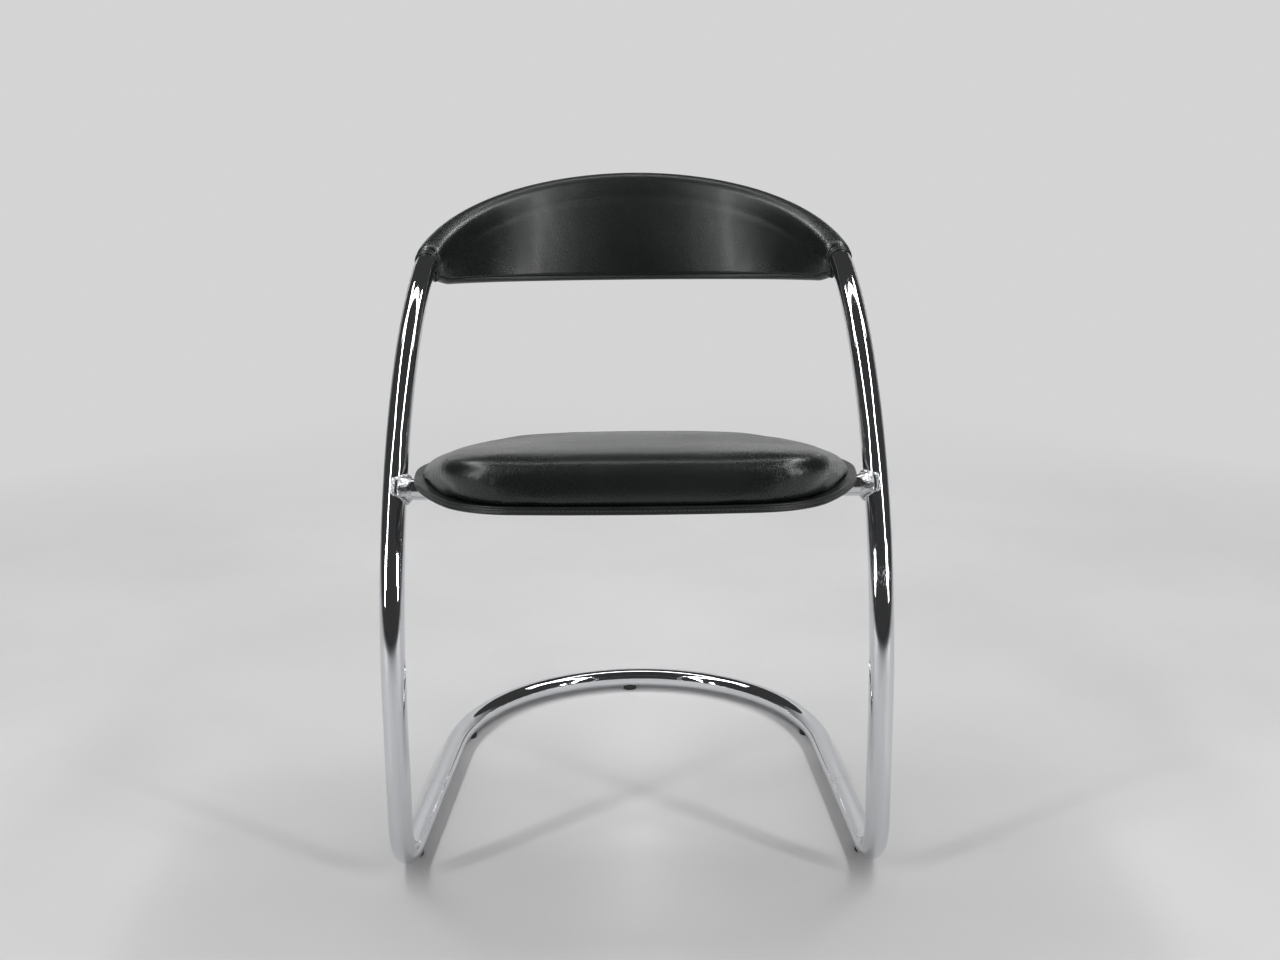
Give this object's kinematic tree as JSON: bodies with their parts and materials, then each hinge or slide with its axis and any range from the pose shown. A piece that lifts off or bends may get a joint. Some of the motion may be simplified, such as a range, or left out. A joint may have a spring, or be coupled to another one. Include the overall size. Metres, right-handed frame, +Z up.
{
  "type": "cantilever chair",
  "caption": "Cantilever side chair with a bent chromed tube frame on a looped base, a padded black leather seat and a curved padded back.",
  "frame": {"origin": "on the floor under the middle of the chair's overall width and depth", "axes": "+X to the chair's right as seen from the front, +Y to the rear, +Z up"},
  "size_m": [0.515, 0.7216, 0.7172],
  "materials": {
    "frame_chrome": "bright polished chrome plating",
    "weld_chrome": "chromed over a rippled weld",
    "inner_steel": "bare drawn steel",
    "glide_plastic": "moulded black nylon",
    "fastener_steel": "zinc plated",
    "plate_paint": "black powder coat",
    "board_wood": "birch plywood",
    "padding": "upholstery foam",
    "lining_cloth": "non-woven black lining",
    "black_leather": "satin finished hide",
    "edge_leather": "folded and stitched hide edge"
  },
  "bodies": {
    "root": {"back_board": "board_wood", "back_cuff_left": "edge_leather", "back_cuff_right": "edge_leather", "back_filling": "padding", "back_front_cover": "black_leather", "back_lower_lip": "edge_leather", "back_rear_cover": "black_leather", "back_tube_padding": "padding", "base_loop_tube": "frame_chrome", "glide_corner_left": "glide_plastic", "glide_corner_right": "glide_plastic", "glide_front_left": "glide_plastic", "glide_front_right": "glide_plastic", "glide_pins": "fastener_steel", "glide_rear": "glide_plastic", "joint_sleeve_left": "inner_steel", "joint_sleeve_right": "inner_steel", "seat_board": "board_wood", "seat_bottom_cover": "lining_cloth", "seat_cross_tube": "frame_chrome", "seat_foam": "padding", "seat_plate_left": "plate_paint", "seat_plate_right": "plate_paint", "seat_plate_welds": "plate_paint", "seat_rim_welt": "edge_leather", "seat_screws": "fastener_steel", "seat_tee_nuts": "fastener_steel", "seat_top_cover": "black_leather", "seat_washers": "fastener_steel", "upper_frame_tube": "frame_chrome", "weld_bead_left": "weld_chrome", "weld_bead_right": "weld_chrome"}
  },
  "joints": []
}
